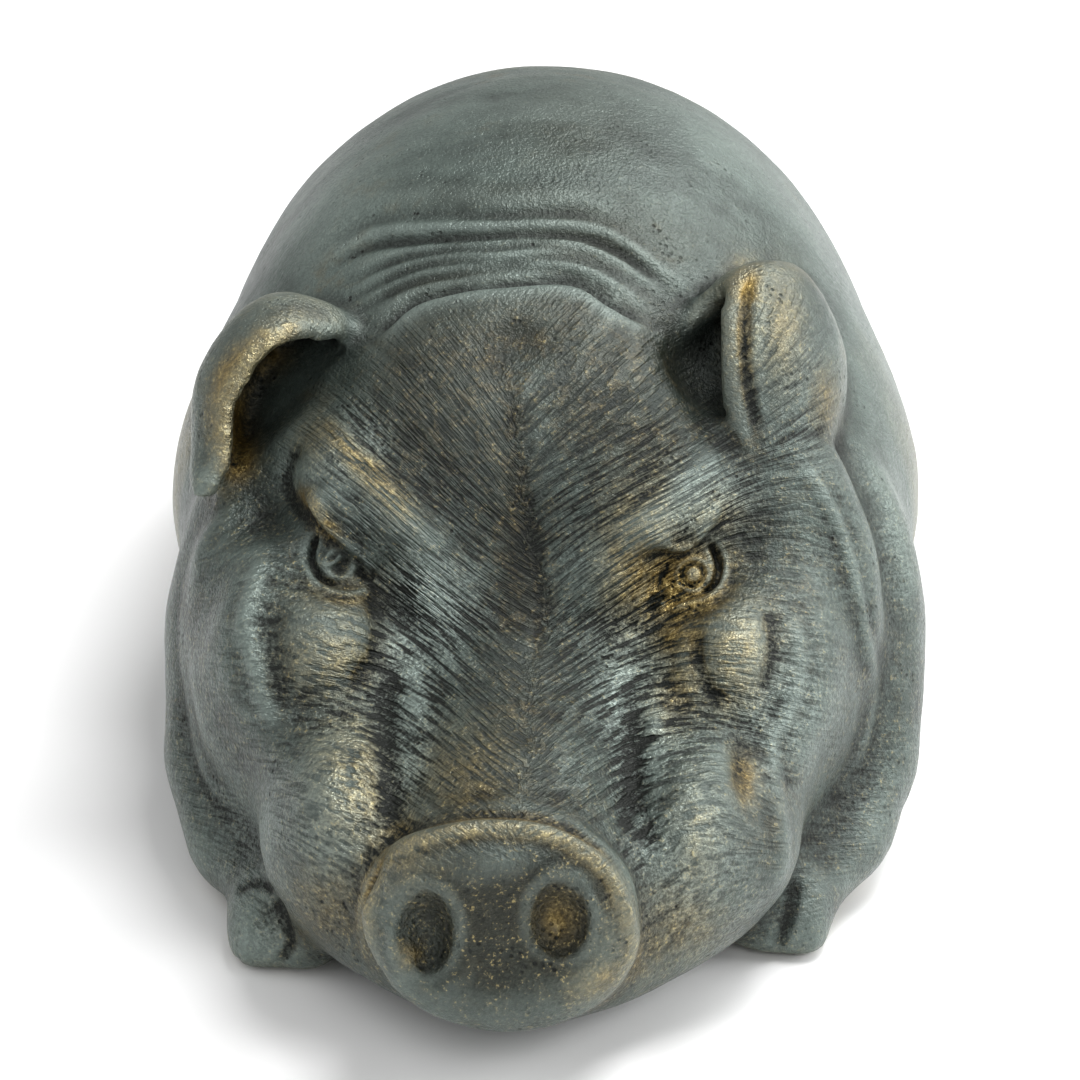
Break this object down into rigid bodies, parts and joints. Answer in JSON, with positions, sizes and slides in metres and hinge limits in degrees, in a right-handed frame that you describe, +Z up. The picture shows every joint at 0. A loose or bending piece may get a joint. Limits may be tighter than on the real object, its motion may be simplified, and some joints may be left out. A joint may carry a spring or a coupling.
{
  "type": "bronze pig sculpture",
  "caption": "Cast bronze sculpture of a pig lying on its folded legs with its head low, flat underneath, to stand on a table, shelf or step.",
  "frame": {"origin": "middle of the footprint, on the surface that the pig lies on", "axes": "+Z up, -Y the way the pig faces, +X to the pig's left"},
  "size_m": [0.1652, 0.3412, 0.1362],
  "materials": {
    "patinated_bronze": "cast bronze with a dark slate-green patina, paler blue-green on raised strokes, rubbed to dull gold on the ear rims, snout rim, brows and under the eyes, fine carved hair strokes and casting pits"
  },
  "bodies": {
    "root": {"pig": "patinated_bronze"}
  },
  "joints": []
}
